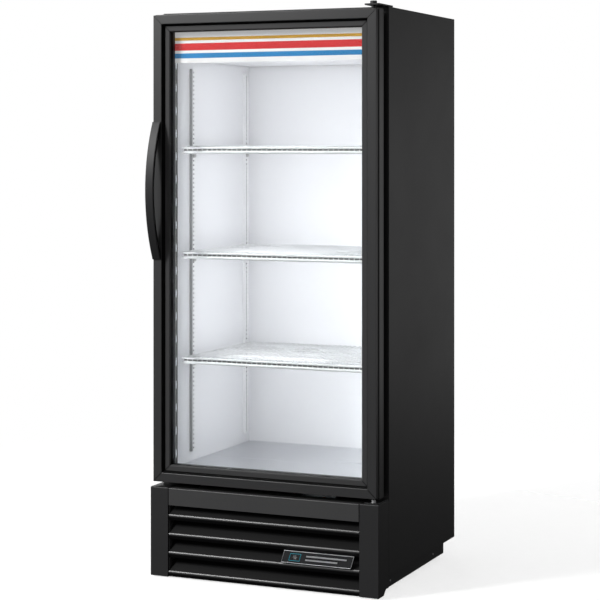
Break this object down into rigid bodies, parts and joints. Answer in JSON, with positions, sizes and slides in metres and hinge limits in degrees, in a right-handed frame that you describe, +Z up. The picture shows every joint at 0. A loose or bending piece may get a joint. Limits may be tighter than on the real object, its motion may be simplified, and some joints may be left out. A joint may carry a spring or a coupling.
{
  "type": "reach in refrigerator",
  "caption": "Upright glass-door reach-in refrigerator with a bowed grip, wire shelves, a louvred base grille, and cooling machinery under an insulated case.",
  "frame": {"origin": "middle of the box that holds the object, on the floor plane under the levelling feet", "axes": "+Z up; the door faces -Y; the door's hinges are on the +X side"},
  "size_m": [0.686, 0.6712, 1.597],
  "materials": {
    "side_panel_paint": "satin textured black enamel",
    "rear_sheet": "galvanised sheet",
    "foam_core": "rigid polyurethane foam",
    "liner_enamel": "white enamel",
    "floor_steel": "brushed",
    "jamb_plastic": "black",
    "pilaster_enamel": "white enamel",
    "shelf_coating": "white plastic coating on wire",
    "tag_plastic": "white",
    "coil_fins": "bare fins",
    "motor_paint": "satin black",
    "fan_plastic": "black",
    "fan_aluminium": "bare",
    "control_plastic": "white",
    "dial_plastic": "grey",
    "switch_plastic": "black",
    "refrigerant_copper": "copper",
    "pan_plastic": "black",
    "foot_rubber": "black",
    "base_trim": "satin black",
    "plate_metal": "polished rim on a dark face",
    "hinge_steel": "satin black",
    "frame_aluminium": "black anodised",
    "spacer_aluminium": "mill finish",
    "door_glass": "clear",
    "gasket_rubber": "matte black",
    "sign_film": "white with plain coloured bands",
    "lamp_lens": "grey channel with clear emitters",
    "grip_plastic": "satin black"
  },
  "bodies": {
    "cabinet": {"left_side_panel": "side_panel_paint", "right_side_panel": "side_panel_paint", "top_panel": "side_panel_paint", "lower_front_rail": "side_panel_paint", "base_frame": "side_panel_paint", "rear_panel": "rear_sheet", "rear_louver_panel": "rear_sheet", "foam_body": "foam_core", "inner_liner": "liner_enamel", "evaporator_cover": "liner_enamel", "floor_pan": "floor_steel", "front_jamb": "jamb_plastic", "left_front_pilaster": "pilaster_enamel", "right_front_pilaster": "pilaster_enamel", "left_rear_pilaster": "pilaster_enamel", "right_rear_pilaster": "pilaster_enamel", "evaporator_coil": "coil_fins", "condenser_coil": "coil_fins", "evaporator_fan_motor": "motor_paint", "condenser_fan_motor": "motor_paint", "condenser_fan_shroud": "motor_paint", "compressor": "motor_paint", "temperature_control": "control_plastic", "suction_line": "refrigerant_copper", "discharge_line": "refrigerant_copper", "filter_drier": "refrigerant_copper", "condensate_pan": "pan_plastic", "power_inlet_box": "pan_plastic", "left_corner_cap": "base_trim", "right_corner_cap": "base_trim", "front_grille": "base_trim", "nameplate": "plate_metal", "top_hinge_bracket": "hinge_steel", "bottom_hinge_bracket": "hinge_steel"},
    "door": {"left_stile": "frame_aluminium", "right_stile": "frame_aluminium", "top_rail": "frame_aluminium", "bottom_rail": "frame_aluminium", "glazing_bead": "frame_aluminium", "glass_spacer": "spacer_aluminium", "front_glass": "door_glass", "rear_glass": "door_glass", "door_sign": "sign_film", "led_light_bar": "lamp_lens", "door_gasket": "gasket_rubber", "door_handle": "grip_plastic"},
    "upper_shelf": {"shelf_1": "shelf_coating", "tag_moulding_1": "tag_plastic"},
    "middle_shelf": {"shelf_2": "shelf_coating", "tag_moulding_2": "tag_plastic"},
    "lower_shelf": {"shelf_3": "shelf_coating", "tag_moulding_3": "tag_plastic"},
    "evaporator_fan": {"evaporator_fan_blade": "fan_plastic"},
    "condenser_fan": {"condenser_fan_blade": "fan_aluminium"},
    "dial": {"temperature_dial": "dial_plastic"},
    "switch": {"light_switch": "switch_plastic"},
    "front_left_leveller": {"front_left_foot": "foot_rubber"},
    "front_right_leveller": {"front_right_foot": "foot_rubber"},
    "rear_left_leveller": {"rear_left_foot": "foot_rubber"},
    "rear_right_leveller": {"rear_right_foot": "foot_rubber"}
  },
  "joints": [
    {"name": "door_hinge", "type": "hinge", "parent": "cabinet", "child": "door", "pos_m": [0.322, -0.2714, 0.92], "axis": [0, 0, 1], "range_deg": [0, 110], "stiffness_Nm_per_rad": 3, "springref_deg": -34.38},
    {"name": "upper_shelf_lift", "type": "slide", "parent": "cabinet", "child": "upper_shelf", "axis": [0, 0, 1], "range_m": [0, 0.03]},
    {"name": "middle_shelf_lift", "type": "slide", "parent": "cabinet", "child": "middle_shelf", "axis": [0, 0, 1], "range_m": [0, 0.03]},
    {"name": "lower_shelf_lift", "type": "slide", "parent": "cabinet", "child": "lower_shelf", "axis": [0, 0, 1], "range_m": [0, 0.03]},
    {"name": "evaporator_fan_spin", "type": "hinge", "parent": "cabinet", "child": "evaporator_fan", "pos_m": [-0.12, -0.1064, 1.495], "axis": [0, 1, 0], "continuous": true},
    {"name": "condenser_fan_spin", "type": "hinge", "parent": "cabinet", "child": "condenser_fan", "pos_m": [-0.095, -0.1094, 0.146], "axis": [0, 1, 0], "continuous": true},
    {"name": "temperature_dial_turn", "type": "hinge", "parent": "cabinet", "child": "dial", "pos_m": [0.222, -0.1714, 1.496], "axis": [0, -1, 0], "range_deg": [-270, 0]},
    {"name": "light_switch_rock", "type": "hinge", "parent": "cabinet", "child": "switch", "pos_m": [0.263, -0.1684, 1.496], "axis": [1, 0, 0], "range_deg": [0, 16]},
    {"name": "front_left_foot_adjust", "type": "slide", "parent": "cabinet", "child": "front_left_leveller", "axis": [0, 0, -1], "range_m": [0, 0.012]},
    {"name": "front_right_foot_adjust", "type": "slide", "parent": "cabinet", "child": "front_right_leveller", "axis": [0, 0, -1], "range_m": [0, 0.012]},
    {"name": "rear_left_foot_adjust", "type": "slide", "parent": "cabinet", "child": "rear_left_leveller", "axis": [0, 0, -1], "range_m": [0, 0.012]},
    {"name": "rear_right_foot_adjust", "type": "slide", "parent": "cabinet", "child": "rear_right_leveller", "axis": [0, 0, -1], "range_m": [0, 0.012]}
  ]
}
